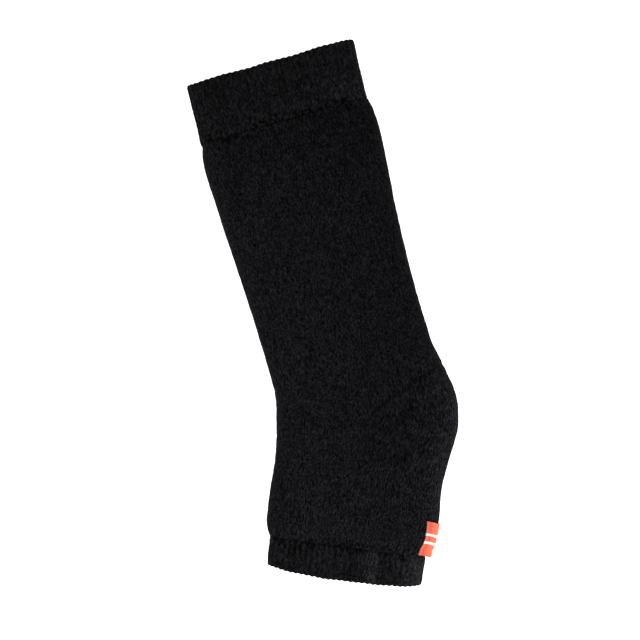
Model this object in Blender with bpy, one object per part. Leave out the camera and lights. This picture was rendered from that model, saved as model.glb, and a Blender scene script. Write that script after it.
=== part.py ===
"""Elbow support sleeve, lying flat.

A ribbed cuff at each end, a plush knitted tube bent at the elbow, a short-row
pocket knitted in at the point of the elbow, and a folded label round the edge
above the lower cuff.

Metres, +Z up. The sleeve lies on Z = 0 with its upper-arm end towards +Y and
the point of the elbow towards +X. The origin is at the middle of its box,
on the surface that it lies on.
"""

import math
from collections import namedtuple

import bmesh
import bpy

# Middle line of the sleeve, seen from above
UPPER_RUN = 0.1654                    # straight, from the upper edge to the elbow bend
BEND_RADIUS = 0.159
LOWER_RUN = 0.0521                    # straight, from the elbow bend to the lower edge
UPPER_TILT = math.radians(14.9)       # from -Y towards +X
LOWER_TILT = math.radians(-8.0)
UPPER_ROW_TURN = math.radians(1.1)    # how far the knitted rows lie off square at each end
LOWER_ROW_TURN = math.radians(0.3)

# Ribbed cuffs
UPPER_CUFF_LENGTH = 0.0323
UPPER_CUFF_WIDTH = 0.0913
LOWER_CUFF_LENGTH = 0.0187
LOWER_CUFF_WIDTH = 0.0828
CUFF_HEIGHT = 0.0152
CUFF_WALL = 0.0024
CUFF_DISH = 0.0018                    # how far the middle sinks between the two folds
RIB_COUNT = 60
RIB_DEPTH = 0.0008
EDGE_ROUND = 0.0007                   # rounding of the turned edge
LOWER_EDGE_BOW = 0.0030               # how far the lower edge's corners draw back

# Plush tube
TUBE_WIDTH = 0.0948
TUBE_HEIGHT = 0.0200
TUBE_WALL = 0.0030
TUBE_DISH = 0.0032
FOLD_REACH = 0.0125                   # how far in from a fold the top keeps rounding
UNDER_REACH = 0.0180                  # the same, underneath
CREASE_DEPTH = 0.0014                 # across the inside of the elbow
CREASE_WIDTH = 0.0060
ELBOW_BULGE = 0.0080                  # how far the pocket stands out past the tube

# Label folded over the edge
LABEL_LENGTH = 0.0185                 # along the edge
LABEL_OVERLAP = 0.0072                # in from the edge, on each face
LABEL_THICKNESS = 0.0006

SEAM_GAP = 0.0003                     # between pieces that are sewn or knitted together
FOLD_LEVEL = 0.46                     # height of the widest point, as a share of the height
RIDGE_PLACE = 0.72                    # where the dish starts, as a share of the half width

# How finely the surfaces are divided. The tube's rows are on the 0 to 3 scale
# of TUBE_ROWS, closest together at its shoulders and round the elbow.
TUBE_SIDES = 56
UPPER_SHOULDER_STOPS = [0.0, 0.02, 0.05]
UPPER_ARM_START = 0.11
UPPER_ARM_STEPS = 9
BEND_STEPS = 14
FOREARM_STOPS = [2.0, 2.2, 2.45, 2.70, 2.85, 2.95, 3.0]
LABEL_SIDES = 14
LABEL_STEPS = 4
GORE_STEPS = 6
CUTTER_REACH = 0.01                   # how far a cutter passes the cloth
ANGLE_STEP = 0.01                     # for the slope of a section at a point

# The tube from end to end. "along" runs from 0 to 1 between the upper seam and
# the bend, 1 to 2 through the bend, and 2 to 3 from there to the lower seam.
# left and right are shares of half TUBE_WIDTH, height of TUBE_HEIGHT and dish
# of TUBE_DISH. seam says how far the section has drawn in to the cuff's, 0 to 1.
TubeRow = namedtuple("TubeRow", "along left right height dish seam")
TUBE_ROWS = [
    TubeRow(0.00, 0.998, 1.000, 0.96, 0.90, 1.00),
    TubeRow(0.02, 0.998, 1.000, 0.97, 0.90, 0.60),
    TubeRow(0.05, 0.998, 1.000, 0.98, 0.92, 0.22),
    TubeRow(0.11, 0.998, 1.000, 0.99, 0.95, 0.00),
    TubeRow(0.25, 0.981, 0.985, 1.00, 1.00, 0.00),
    TubeRow(0.50, 0.943, 0.935, 0.98, 1.00, 0.00),
    TubeRow(0.75, 0.903, 0.921, 0.97, 0.95, 0.00),
    TubeRow(1.00, 0.889, 0.937, 0.98, 0.85, 0.00),
    TubeRow(1.50, 0.914, 0.943, 1.00, 0.80, 0.00),
    TubeRow(2.00, 0.942, 0.940, 0.97, 0.80, 0.00),
    TubeRow(2.40, 0.951, 0.960, 0.97, 0.80, 0.00),
    TubeRow(2.70, 0.942, 0.951, 0.96, 0.80, 0.03),
    TubeRow(2.85, 0.938, 0.948, 0.95, 0.80, 0.18),
    TubeRow(2.95, 0.936, 0.944, 0.95, 0.80, 0.62),
    TubeRow(3.00, 0.936, 0.944, 0.95, 0.80, 1.00),
]

# Outward bulge of the pocket at the right fold, as a share of ELBOW_BULGE
BulgeRow = namedtuple("BulgeRow", "along share")
BULGE_ROWS = [
    BulgeRow(0.96, 0.00),
    BulgeRow(1.08, 0.22),
    BulgeRow(1.22, 0.56),
    BulgeRow(1.35, 0.93),
    BulgeRow(1.43, 1.00),
    BulgeRow(1.55, 0.93),
    BulgeRow(1.68, 0.58),
    BulgeRow(1.82, 0.21),
    BulgeRow(1.97, 0.00),
]

# The two gore lines of the pocket, each a curve from beyond the fold to the
# apex. "along" as above, across as a share of the tube's right half width.
GorePoint = namedtuple("GorePoint", "along across")
GORE_APEX = GorePoint(1.47, 0.06)
UPPER_GORE = [GorePoint(1.12, 1.30), GorePoint(1.20, 0.46), GORE_APEX]
LOWER_GORE = [GorePoint(1.64, 1.30), GorePoint(1.66, 0.52), GORE_APEX]
CREASE_ALONG = 1.43                   # the crease runs on from the apex to the left
CREASE_LEFT = 0.70                    # and fades out at this share of the left half width
LABEL_HOLD = 2.82                     # below here the label keeps the tube's last full section

# A cuff from its turned edge to its seam. "along" is a share of the cuff's
# length, width of its width, rib of RIB_DEPTH and edge of EDGE_ROUND.
CuffRow = namedtuple("CuffRow", "along width rib edge")
UPPER_CUFF_ROWS = [
    CuffRow(0.00, 0.998, 0.6, 1.0),
    CuffRow(0.03, 0.999, 1.0, 0.0),
    CuffRow(0.48, 1.002, 1.0, 0.0),
    CuffRow(0.54, 1.002, 0.5, 0.0),
    CuffRow(1.00, 1.000, 0.5, 0.0),
]
LOWER_CUFF_ROWS = [
    CuffRow(0.00, 0.986, 0.6, 1.0),
    CuffRow(0.05, 0.988, 1.0, 0.0),
    CuffRow(0.60, 1.000, 1.0, 0.0),
    CuffRow(1.00, 1.000, 0.9, 0.0),
]

BLACK_KNIT = ("black_rib_knit", (0.012, 0.012, 0.014), 0.92)
BLACK_PLUSH = ("black_plush_knit", (0.016, 0.016, 0.018), 0.95)
CORAL_TAPE = ("coral_woven_tape", (0.85, 0.12, 0.07), 0.75)


def clear_scene():
    for obj in list(bpy.data.objects):
        bpy.data.objects.remove(obj, do_unlink=True)


def make_collection(name):
    collection = bpy.data.collections.new(name)
    bpy.context.scene.collection.children.link(collection)
    return collection


def make_material(name, colour, roughness):
    material = bpy.data.materials.new(name)
    material.use_nodes = True
    shader = material.node_tree.nodes["Principled BSDF"]
    shader.inputs["Base Color"].default_value = (*colour, 1.0)
    shader.inputs["Roughness"].default_value = roughness
    shader.inputs["Metallic"].default_value = 0.0
    return material


def bend_length():
    return BEND_RADIUS * (UPPER_TILT - LOWER_TILT)


def sleeve_length():
    return UPPER_RUN + bend_length() + LOWER_RUN


def station(along):
    """Distance down the middle line at a place on the tube's 0 to 3 scale."""
    upper_seam = UPPER_CUFF_LENGTH + SEAM_GAP
    lower_seam = sleeve_length() - LOWER_CUFF_LENGTH - SEAM_GAP
    bend_end = UPPER_RUN + bend_length()
    if along < 1.0:
        return upper_seam + along * (UPPER_RUN - upper_seam)
    if along < 2.0:
        return UPPER_RUN + (along - 1.0) * bend_length()
    return bend_end + (along - 2.0) * (lower_seam - bend_end)


def middle_line(distance):
    """Point on the middle line and its tilt there, from the upper edge at 0."""
    bent = min(max(distance - UPPER_RUN, 0.0), bend_length())
    tilt = UPPER_TILT - bent / BEND_RADIUS
    straight = min(distance, UPPER_RUN)
    x = straight * math.sin(UPPER_TILT) + BEND_RADIUS * (math.cos(tilt) - math.cos(UPPER_TILT))
    y = -straight * math.cos(UPPER_TILT) + BEND_RADIUS * (math.sin(tilt) - math.sin(UPPER_TILT))
    rest = max(distance - UPPER_RUN - bend_length(), 0.0)
    return x + rest * math.sin(tilt), y - rest * math.cos(tilt), tilt


def plan_point(distance, across):
    """Where a point of the flat sleeve lies, seen from above."""
    x, y, tilt = middle_line(distance)
    turn = tilt + UPPER_ROW_TURN + (LOWER_ROW_TURN - UPPER_ROW_TURN) * distance / sleeve_length()
    return x + across * math.cos(turn), y + across * math.sin(turn)


def smooth_value(rows, along, column):
    """Value of a table's column at a place between its rows, without kinks."""
    places = [row.along for row in rows]
    values = [getattr(row, column) for row in rows]
    if along <= places[0]:
        return values[0]
    if along >= places[-1]:
        return values[-1]
    index = max(i for i, place in enumerate(places) if place <= along)
    pairs = range(len(rows) - 1)
    slopes = [(values[i + 1] - values[i]) / (places[i + 1] - places[i]) for i in pairs]

    def tangent(i):
        if i == 0 or i == len(rows) - 1 or slopes[i - 1] * slopes[i] <= 0.0:
            return 0.0
        return 2.0 * slopes[i - 1] * slopes[i] / (slopes[i - 1] + slopes[i])

    span = places[index + 1] - places[index]
    t = (along - places[index]) / span
    rise = values[index + 1] - values[index]
    start = span * tangent(index)
    end = span * tangent(index + 1)
    square = 3 * rise - 2 * start - end
    cube = start + end - 2 * rise
    return values[index] + t * start + t * t * square + t ** 3 * cube


def fold_round(distance, reach):
    """How far the surface has risen at a distance in from a fold, 0 to 1."""
    if distance >= reach:
        return 1.0
    return math.sqrt(max(1.0 - (1.0 - distance / reach) ** 2, 0.0))


def section_point(angle, left, right, height, dish, wall=0.0, crease=0.0):
    """Point (across, up) of the flattened section.

    The angle runs from 0 at the right fold over the top to pi at the left
    fold, and back underneath. A wall gives the inner face of a cloth that
    thick.
    """
    inner_left = left - wall
    inner_right = right - wall
    middle = (inner_right - inner_left) / 2
    half = (inner_right + inner_left) / 2
    across = middle + half * math.cos(angle)
    from_fold = half * (1.0 - abs(math.cos(angle)))
    fold_height = height * FOLD_LEVEL
    if math.sin(angle) < 0.0:
        rise = fold_round(from_fold, UNDER_REACH - wall)
        return across, fold_height - (fold_height - wall) * rise
    rise = fold_round(from_fold, FOLD_REACH - wall)
    inward = min(abs(math.cos(angle)) / RIDGE_PLACE, 1.0)
    sink = dish * 0.5 * (1.0 + math.cos(math.pi * inward))
    return across, fold_height + (height - wall - fold_height) * rise - sink - crease


def ring_at(distance, points, bow=0.0):
    """Section points put in their place on the sleeve, as 3D points.

    A bow draws the ring's two sides on along the middle line.
    """
    half = max(across for across, up in points)
    return [(*plan_point(distance + bow * (across / half) ** 2, across), up) for across, up in points]


def even_spacing(points, count):
    """The closed loop of points again, as count points evenly far apart."""
    closed = points + points[:1]
    lengths = [0.0]
    for a, b in zip(closed, closed[1:]):
        lengths.append(lengths[-1] + math.dist(a, b))
    spaced = []
    index = 0
    for k in range(count):
        target = lengths[-1] * k / count
        while lengths[index + 1] < target:
            index += 1
        t = (target - lengths[index]) / (lengths[index + 1] - lengths[index])
        a, b = closed[index], closed[index + 1]
        spaced.append((a[0] + t * (b[0] - a[0]), a[1] + t * (b[1] - a[1])))
    return spaced


def ribbed(points, depth):
    """A loop with every second point pushed in and the others out, by half the depth."""
    out = []
    count = len(points)
    for k, (across, up) in enumerate(points):
        before = points[k - 1]
        after = points[(k + 1) % count]
        run = (after[0] - before[0], after[1] - before[1])
        length = math.hypot(*run)
        push = depth / 2 if k % 2 else -depth / 2
        out.append((across + push * run[1] / length, up - push * run[0] / length))
    return out


def add_faces(mesh, first, second, closed=True):
    """Quads between two rows of vertices."""
    count = len(first)
    for k in range(count if closed else count - 1):
        after = (k + 1) % count
        mesh.faces.new((first[k], first[after], second[after], second[k]))


def mesh_object(name, mesh, collection, material=None):
    bmesh.ops.recalc_face_normals(mesh, faces=mesh.faces)
    data = bpy.data.meshes.new(name)
    mesh.to_mesh(data)
    mesh.free()
    obj = bpy.data.objects.new(name, data)
    collection.objects.link(obj)
    if material is not None:
        data.materials.append(material)
        data.shade_smooth()
        data.set_sharp_from_angle(angle=math.radians(50.0))
    return obj


def hollow_loft(name, outer_rings, inner_rings, collection, material):
    """Open-ended tube with a wall, between its outer and inner rings."""
    mesh = bmesh.new()
    outer = [[mesh.verts.new(point) for point in ring] for ring in outer_rings]
    inner = [[mesh.verts.new(point) for point in ring] for ring in inner_rings]
    for rings in (outer, inner):
        for first, second in zip(rings, rings[1:]):
            add_faces(mesh, first, second)
    add_faces(mesh, outer[0], inner[0])
    add_faces(mesh, outer[-1], inner[-1])
    return mesh_object(name, mesh, collection, material)


def make_cuff(name, rows, width, length, start, heading, bow, collection, material):
    """A ribbed cuff, from its turned edge at start, along the middle line."""
    angles = [2.0 * math.pi * k / (4 * RIB_COUNT) for k in range(4 * RIB_COUNT)]
    outer_rings = []
    inner_rings = []
    for row in rows:
        distance = start + heading * row.along * length
        shrink = row.edge * EDGE_ROUND
        half = row.width * width / 2 - RIB_DEPTH / 2 - shrink
        height = CUFF_HEIGHT - RIB_DEPTH - 2.0 * shrink
        lift = RIB_DEPTH / 2 + shrink
        outer = [section_point(a, half, half, height, CUFF_DISH) for a in angles]
        inner = [section_point(a, half, half, height, CUFF_DISH, CUFF_WALL - RIB_DEPTH / 2 - 2.0 * shrink)
                 for a in angles]
        outer = ribbed(even_spacing(outer, 2 * RIB_COUNT), row.rib * RIB_DEPTH)
        inner = even_spacing(inner, 2 * RIB_COUNT)
        edge_bow = heading * bow * (1.0 - row.along) ** 2
        outer_rings.append(ring_at(distance, [(across, up + lift) for across, up in outer], edge_bow))
        inner_rings.append(ring_at(distance, [(across, up + lift) for across, up in inner], edge_bow))
    return hollow_loft(name, outer_rings, inner_rings, collection, material)


def tube_stations():
    """Places of the tube's rows on its 0 to 3 scale."""
    reach = 1.0 - UPPER_ARM_START
    upper_arm = [UPPER_ARM_START + reach * k / UPPER_ARM_STEPS for k in range(UPPER_ARM_STEPS)]
    bend = [1.0 + k / BEND_STEPS for k in range(BEND_STEPS)]
    return UPPER_SHOULDER_STOPS + upper_arm + bend + FOREARM_STOPS


def tube_section(along, angle, wall):
    """Point (across, up) of the plush tube's outer or inner face."""
    half = TUBE_WIDTH / 2
    cuff_half = (UPPER_CUFF_WIDTH if along < 1.5 else LOWER_CUFF_WIDTH) / 2
    seam = smooth_value(TUBE_ROWS, along, "seam")

    def drawn_in(full, at_cuff):
        return full + seam * (at_cuff - full)

    left = drawn_in(half * smooth_value(TUBE_ROWS, along, "left"), cuff_half)
    right = drawn_in(half * smooth_value(TUBE_ROWS, along, "right"), cuff_half)
    bulge = ELBOW_BULGE * smooth_value(BULGE_ROWS, along, "share")
    height = drawn_in(TUBE_HEIGHT * smooth_value(TUBE_ROWS, along, "height"), CUFF_HEIGHT)
    dish = drawn_in(TUBE_DISH * smooth_value(TUBE_ROWS, along, "dish"), CUFF_DISH)
    share = math.cos(angle)
    off_crease = (station(along) - station(CREASE_ALONG)) / CREASE_WIDTH
    fade = max(1.0 - (share / CREASE_LEFT) ** 2, 0.0) if share < 0.0 else max(1.0 - share / CREASE_LEFT, 0.0)
    crease = CREASE_DEPTH * fade * math.exp(-off_crease * off_crease)
    return section_point(angle, left, right + bulge, height, dish, wall, crease)


def make_tube_blank(name, collection, material):
    """The whole plush tube, before the elbow pocket is parted from it."""
    angles = [2.0 * math.pi * k / TUBE_SIDES for k in range(TUBE_SIDES)]
    outer_rings = []
    inner_rings = []
    for along in tube_stations():
        outer_rings.append(ring_at(station(along), [tube_section(along, a, 0.0) for a in angles]))
        inner_rings.append(ring_at(station(along), [tube_section(along, a, TUBE_WALL) for a in angles]))
    return hollow_loft(name, outer_rings, inner_rings, collection, material)


def gore_curve(points):
    """Plan of a gore line: a curve that leaves and arrives along its control point's sides."""
    half = TUBE_WIDTH / 2
    plan = []
    for step in range(GORE_STEPS + 1):
        t = step / GORE_STEPS
        weights = ((1 - t) ** 2, 2 * t * (1 - t), t * t)
        along = sum(w * p.along for w, p in zip(weights, points))
        across = half * sum(w * p.across for w, p in zip(weights, points))
        plan.append(plan_point(station(along), across))
    return plan


def grown(outline, amount):
    """A closed outline moved outwards by an amount, kept to its corners' mitres."""
    area = sum(a[0] * b[1] - b[0] * a[1] for a, b in zip(outline, outline[1:] + outline[:1]))
    side = 1.0 if area > 0.0 else -1.0
    moved = []
    count = len(outline)
    for k in range(count):
        before = outline[k - 1]
        here = outline[k]
        after = outline[(k + 1) % count]
        normals = []
        for a, b in ((before, here), (here, after)):
            length = math.dist(a, b)
            normals.append((side * (b[1] - a[1]) / length, -side * (b[0] - a[0]) / length))
        across = (normals[0][0] + normals[1][0], normals[0][1] + normals[1][1])
        mitre = 2.0 * amount / (across[0] ** 2 + across[1] ** 2)
        moved.append((here[0] + mitre * across[0], here[1] + mitre * across[1]))
    return moved


def make_pocket_cutter(name, growth, collection):
    """Upright prism over the pocket's plan, grown or shrunk by half the seam's gap."""
    outline = gore_curve(UPPER_GORE) + gore_curve(LOWER_GORE)[-2::-1]
    mesh = bmesh.new()
    verts = [mesh.verts.new((x, y, -CUTTER_REACH)) for x, y in grown(outline, growth)]
    face = mesh.faces.new(verts)
    extruded = bmesh.ops.extrude_face_region(mesh, geom=[face])
    top = [item for item in extruded["geom"] if isinstance(item, bmesh.types.BMVert)]
    bmesh.ops.translate(mesh, verts=top, vec=(0.0, 0.0, TUBE_HEIGHT + 2.0 * CUTTER_REACH))
    cutter = mesh_object(name, mesh, collection)
    cutter.hide_render = True
    cutter.display_type = "WIRE"
    return cutter


def cut_with(obj, cutter, operation):
    boolean = obj.modifiers.new("pocket", "BOOLEAN")
    boolean.object = cutter
    boolean.operation = operation
    boolean.solver = "EXACT"


def make_label(name, collection, material):
    """Tape folded over the right edge, clear of the tube by the seam's gap."""
    lower = station(3.0) - SEAM_GAP
    distances = [lower - LABEL_LENGTH * (1.0 - k / LABEL_STEPS) for k in range(LABEL_STEPS + 1)]
    bend_end = UPPER_RUN + bend_length()
    mesh = bmesh.new()
    rows = []
    for distance in distances:
        here = 2.0 + (distance - bend_end) / (station(3.0) - bend_end)
        along = max(min(here, LABEL_HOLD), here, key=lambda place: tube_section(place, 0.0, 0.0)[0])
        half = (tube_section(along, 0.0, 0.0)[0] - tube_section(along, math.pi, 0.0)[0]) / 2
        opening = math.acos(1.0 - LABEL_OVERLAP / half)
        angles = [opening * (1.0 - 2.0 * k / LABEL_SIDES) for k in range(LABEL_SIDES + 1)]
        loop = []
        for clearance in (SEAM_GAP, SEAM_GAP + LABEL_THICKNESS):
            face = [outward_point(along, a, clearance) for a in angles]
            loop += face if not loop else face[::-1]
        rows.append([mesh.verts.new(point) for point in ring_at(distance, loop)])
    for first, second in zip(rows, rows[1:]):
        add_faces(mesh, first, second)
    count = LABEL_SIDES + 1
    for row in (rows[0], rows[-1]):
        add_faces(mesh, row[:count], row[:count - 1:-1], closed=False)
    return mesh_object(name, mesh, collection, material)


def outward_point(along, angle, clearance):
    """A point of the tube's section moved off its surface."""
    before = tube_section(along, angle - ANGLE_STEP, 0.0)
    after = tube_section(along, angle + ANGLE_STEP, 0.0)
    here = tube_section(along, angle, 0.0)
    run = (after[0] - before[0], after[1] - before[1])
    length = math.hypot(*run)
    return here[0] + clearance * run[1] / length, here[1] - clearance * run[0] / length


def stand_on_origin(parts, cutters):
    """Move the sleeve, by its parent, so that the middle of its box is the origin."""
    corners = [vertex.co for part in parts for vertex in part.data.vertices]
    middle_x = (min(c.x for c in corners) + max(c.x for c in corners)) / 2
    middle_y = (min(c.y for c in corners) + max(c.y for c in corners)) / 2
    frame = bpy.data.objects.new("sleeve_frame", None)
    bpy.context.scene.collection.objects.link(frame)
    frame.location = (-middle_x, -middle_y, 0.0)
    for obj in parts + cutters:
        obj.parent = frame


def main():
    clear_scene()
    sleeve = make_collection("elbow_support_sleeve")
    guides = make_collection("cutters")
    rib_knit = make_material(*BLACK_KNIT)
    plush = make_material(*BLACK_PLUSH)
    tape = make_material(*CORAL_TAPE)

    upper = make_cuff("upper_cuff", UPPER_CUFF_ROWS, UPPER_CUFF_WIDTH, UPPER_CUFF_LENGTH,
                      0.0, 1.0, 0.0, sleeve, rib_knit)
    lower = make_cuff("lower_cuff", LOWER_CUFF_ROWS, LOWER_CUFF_WIDTH, LOWER_CUFF_LENGTH,
                      sleeve_length(), -1.0, LOWER_EDGE_BOW, sleeve, rib_knit)
    tube = make_tube_blank("sleeve_tube", sleeve, plush)
    pocket = make_tube_blank("elbow_pocket", sleeve, plush)
    tube_cutter = make_pocket_cutter("tube_cutter", SEAM_GAP / 2, guides)
    pocket_cutter = make_pocket_cutter("pocket_cutter", -SEAM_GAP / 2, guides)
    cut_with(tube, tube_cutter, "DIFFERENCE")
    cut_with(pocket, pocket_cutter, "INTERSECT")
    label = make_label("side_label", sleeve, tape)
    stand_on_origin([upper, lower, tube, pocket, label], [tube_cutter, pocket_cutter])


main()
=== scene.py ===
"""Elbow support sleeve, dressed.

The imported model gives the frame. This script builds the knitted cuffs, the
plush tube, the elbow pocket and the folded label as fine meshes in the same
places, with procedural knit and tape materials, on a plain pale floor.
"""

from collections import namedtuple
import math

import bmesh
import bpy
import numpy as np
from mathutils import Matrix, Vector


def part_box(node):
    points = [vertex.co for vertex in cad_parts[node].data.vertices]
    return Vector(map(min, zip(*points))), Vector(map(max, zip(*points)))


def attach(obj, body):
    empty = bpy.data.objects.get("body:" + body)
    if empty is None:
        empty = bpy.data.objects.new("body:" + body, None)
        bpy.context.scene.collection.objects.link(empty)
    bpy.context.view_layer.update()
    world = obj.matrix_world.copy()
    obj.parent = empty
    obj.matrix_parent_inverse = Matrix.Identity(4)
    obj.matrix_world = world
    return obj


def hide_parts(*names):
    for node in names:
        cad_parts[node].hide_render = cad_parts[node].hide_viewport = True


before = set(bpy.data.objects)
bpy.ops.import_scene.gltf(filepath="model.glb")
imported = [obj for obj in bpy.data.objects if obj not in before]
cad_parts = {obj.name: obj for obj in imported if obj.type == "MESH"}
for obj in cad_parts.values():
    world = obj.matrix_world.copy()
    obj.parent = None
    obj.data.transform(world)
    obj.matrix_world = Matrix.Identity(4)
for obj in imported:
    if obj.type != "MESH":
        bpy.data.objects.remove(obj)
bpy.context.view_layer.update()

MM = 0.001

# Middle line of the sleeve, seen from above, as in the solid model
UPPER_RUN = 165.4 * MM
BEND_RADIUS = 159.0 * MM
LOWER_RUN = 52.1 * MM
UPPER_TILT = math.radians(14.9)
LOWER_TILT = math.radians(-8.0)
UPPER_ROW_TURN = math.radians(1.1)
LOWER_ROW_TURN = math.radians(0.3)
BEND_LENGTH = BEND_RADIUS * (UPPER_TILT - LOWER_TILT)
SLEEVE_LENGTH = UPPER_RUN + BEND_LENGTH + LOWER_RUN

# Cuffs
UPPER_CUFF_LENGTH = 32.3 * MM
UPPER_CUFF_WIDTH = 91.3 * MM
LOWER_CUFF_LENGTH = 18.7 * MM
LOWER_CUFF_WIDTH = 82.8 * MM
CUFF_HEIGHT = 15.2 * MM
CUFF_WALL = 2.4 * MM
CUFF_DISH = 1.8 * MM
RIB_COUNT = 60
RIB_DEPTH = 0.8 * MM
RIB_RELIEF = 0.20 * MM                # how far the knitted ribs stand out and in of their middle
LOWER_EDGE_BOW = 3.0 * MM
SEAM_GAP = 0.1 * MM

# Plush tube
TUBE_WIDTH = 94.8 * MM
TUBE_HEIGHT = 20.0 * MM
TUBE_WALL = 3.0 * MM
TUBE_DISH = 3.2 * MM
FOLD_REACH = 12.5 * MM
UNDER_REACH = 18.0 * MM
CREASE_DEPTH = 1.4 * MM
CREASE_WIDTH = 6.0 * MM
ELBOW_BULGE = 8.0 * MM
FOLD_LEVEL = 0.46
FULLER_LEFT = 0.36 * MM               # how much further than the solid the dressed tube reaches
FULLER_TOP = 0.28 * MM
LEFT_RIDGE = 0.72                     # the fullest place, as a share of half the width
RIGHT_RIDGE = 0.84

# Knit
WALES = 120                           # stitches round the plush tube
WALE_COLUMNS = 4                      # mesh columns to a stitch
BODY_COLUMNS = WALE_COLUMNS * WALES
BODY_COURSE = 1.2 * MM                # height of one course
UPPER_ROWS = 112                      # mesh rows of the tube above and below the apex
LOWER_ROWS = 46
POCKET_ROWS = 28
INNER_STEP = 2                        # the inner faces use every second row and column
STITCHES_PER_RIB = 2.0
CUFF_COLUMNS = 12 * RIB_COUNT
CUFF_COURSE = 1.3 * MM
CUFF_ROW = 0.6 * MM
RIM_STEPS = 5
CUFF_TUCK = 0.8 * MM                  # how far a cuff's end is tucked under the tube
EDGE_SCALLOP = 0.35 * MM              # the ribs' ends stand out past the recesses
EDGE_WANDER = 0.25 * MM
EDGE_REACH = 4.0 * MM

# Label
LABEL_LENGTH = 18.3 * MM
LABEL_OVERLAP = 7.1 * MM
LABEL_THICKNESS = 0.5 * MM
LABEL_LIFT = 0.4 * MM                 # clear of the knit under it
LABEL_BOW = 0.9 * MM                  # how far its border is drawn in halfway
LABEL_HOLD = 2.90                     # below this place on the tube it keeps the section of there
LABEL_PAST_SEAM = 0.3 * MM            # how far its lower end lies past the tube's seam
LABEL_SLOPE = 1.4 * MM                # how much lower it lies at the fold than at its front border
LABEL_ROWS = 40
LABEL_COLUMNS = 56
LABEL_FLAT_WIDTH = 24.8 * MM
STRIPES = (6.9, 11.2)                 # middles of two plain pale stripes, in mm from its top end
STRIPE_WIDTH = 1.3
STRIPE_BLUR = 0.1

# Stage
WHITE = (1.0, 1.0, 1.0, 1.0)
FLOOR_SIZE = 6.0
FLOOR_DROP = 0.05 * MM                # below the sleeve, so that their faces don't meet
FLOOR_DARK = (0.88, 0.88, 0.88, 1.0)
FLOOR_LIGHT = (0.92, 0.92, 0.92, 1.0)
FLOOR_GLOW = 0.7                      # the floor is lit from within, as on a light table
WORLD_STRENGTH = 0.8
# Soft lights: (name, place, aim, size, power)
LIGHTS = (
    ("key", (0.62, -0.58, 0.40), (0.0, 0.0, 0.01), (0.5, 0.3), 8.5),
    ("left", (-0.74, -0.12, 0.45), (0.0, 0.0, 0.01), (0.5, 0.3), 4.5),
    ("overhead", (-0.1, 0.1, 1.3), (0.0, 0.0, 0.0), (0.9, 0.9), 1.5),
)
LENS = 100.0                          # mm, on a sensor of the width below
SENSOR_WIDTH = 36.0
VIEW_WIDTH = 339.2 * MM               # of the photograph's frame, at the middle of the sleeve
VIEW_CENTRE = (-1.33 * MM, -3.84 * MM)
VIEW_LEVEL = 9.0 * MM

UPPER_SEAM = UPPER_CUFF_LENGTH + SEAM_GAP
LOWER_SEAM = SLEEVE_LENGTH - LOWER_CUFF_LENGTH - SEAM_GAP
BEND_END = UPPER_RUN + BEND_LENGTH

# The tube's sections. "along" runs from 0 to 1 between the upper seam and the
# bend, 1 to 2 through the bend and 2 to 3 to the lower seam. left and right
# are shares of half the tube's width, height and dish of its height and dish,
# and seam says how far the section has sunk to the cuff's. Its width draws in
# later than its height, by the square of that.
TUBE_COLUMN_NAMES = ("along", "left", "right", "height", "dish", "seam")
TUBE_ROWS = np.array([
    (0.00, 1.006, 1.004, 0.96, 0.90, 0.92),
    (0.02, 1.006, 1.004, 0.97, 0.90, 0.74),
    (0.05, 1.006, 1.004, 0.98, 0.92, 0.47),
    (0.11, 1.006, 1.004, 0.99, 0.95, 0.14),
    (0.25, 0.984, 0.986, 1.00, 1.00, 0.00),
    (0.50, 0.940, 0.944, 0.98, 1.00, 0.00),
    (0.75, 0.904, 0.935, 0.97, 0.95, 0.00),
    (1.00, 0.885, 0.952, 0.98, 0.85, 0.00),
    (1.50, 0.932, 0.952, 1.00, 0.80, 0.00),
    (2.00, 0.942, 0.948, 0.97, 0.80, 0.00),
    (2.40, 0.947, 0.966, 0.97, 0.80, 0.00),
    (2.70, 0.942, 0.956, 0.96, 0.80, 0.10),
    (2.85, 0.938, 0.952, 0.95, 0.80, 0.40),
    (2.95, 0.936, 0.948, 0.95, 0.80, 0.74),
    (3.00, 0.936, 0.948, 0.95, 0.80, 0.90),
])
# (along, share of the elbow's bulge)
BULGE_ROWS = np.array([
    (0.96, 0.00),
    (1.08, 0.22),
    (1.22, 0.56),
    (1.35, 0.93),
    (1.43, 1.00),
    (1.55, 0.93),
    (1.68, 0.58),
    (1.82, 0.21),
    (1.97, 0.00),
])
# A cuff from its turned edge to its seam: (along, left, right), as shares
UPPER_CUFF_ROWS = np.array([
    (0.00, 1.006, 1.022),
    (0.03, 1.008, 1.024),
    (0.25, 1.012, 1.016),
    (0.50, 1.016, 1.008),
    (1.00, 1.020, 1.006),
])
LOWER_CUFF_ROWS = np.array([
    (0.00, 0.992, 1.002),
    (0.05, 0.996, 1.004),
    (0.60, 1.012, 1.014),
    (1.00, 1.018, 1.014),
])
# Ribs painted lighter where they catch the light, as a painted highlight, and one with a negative gain
# painted darker as painted shade: (turn from the right fold, reach, gain)
UPPER_PAINTED_RIB_LIGHT = ((0.03, 0.07, 0.20),)
LOWER_PAINTED_RIB_LIGHT = (
    (0.178, 0.018, 1.00),
    (0.035, 0.045, 1.20),
    (0.30, 0.05, 0.12),
    (0.235, 0.020, -0.20),
)
UPPER_CUFF_PAINTED_SHADE = 0.81                # painted shade: the upper cuff is painted darker than the lower one
# Painted light and shade of the plush at its left and right fold, lighter or darker by how the light falls
# along it: (share of its length, left, right)
PLUSH_PAINTED_LIGHT_ROWS = np.array([
    (0.00, 0.97, 0.76),
    (0.30, 1.06, 0.86),
    (0.55, 1.11, 0.87),
    (0.74, 1.08, 0.87),
    (0.90, 1.13, 1.10),
    (1.00, 1.13, 1.10),
])
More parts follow.
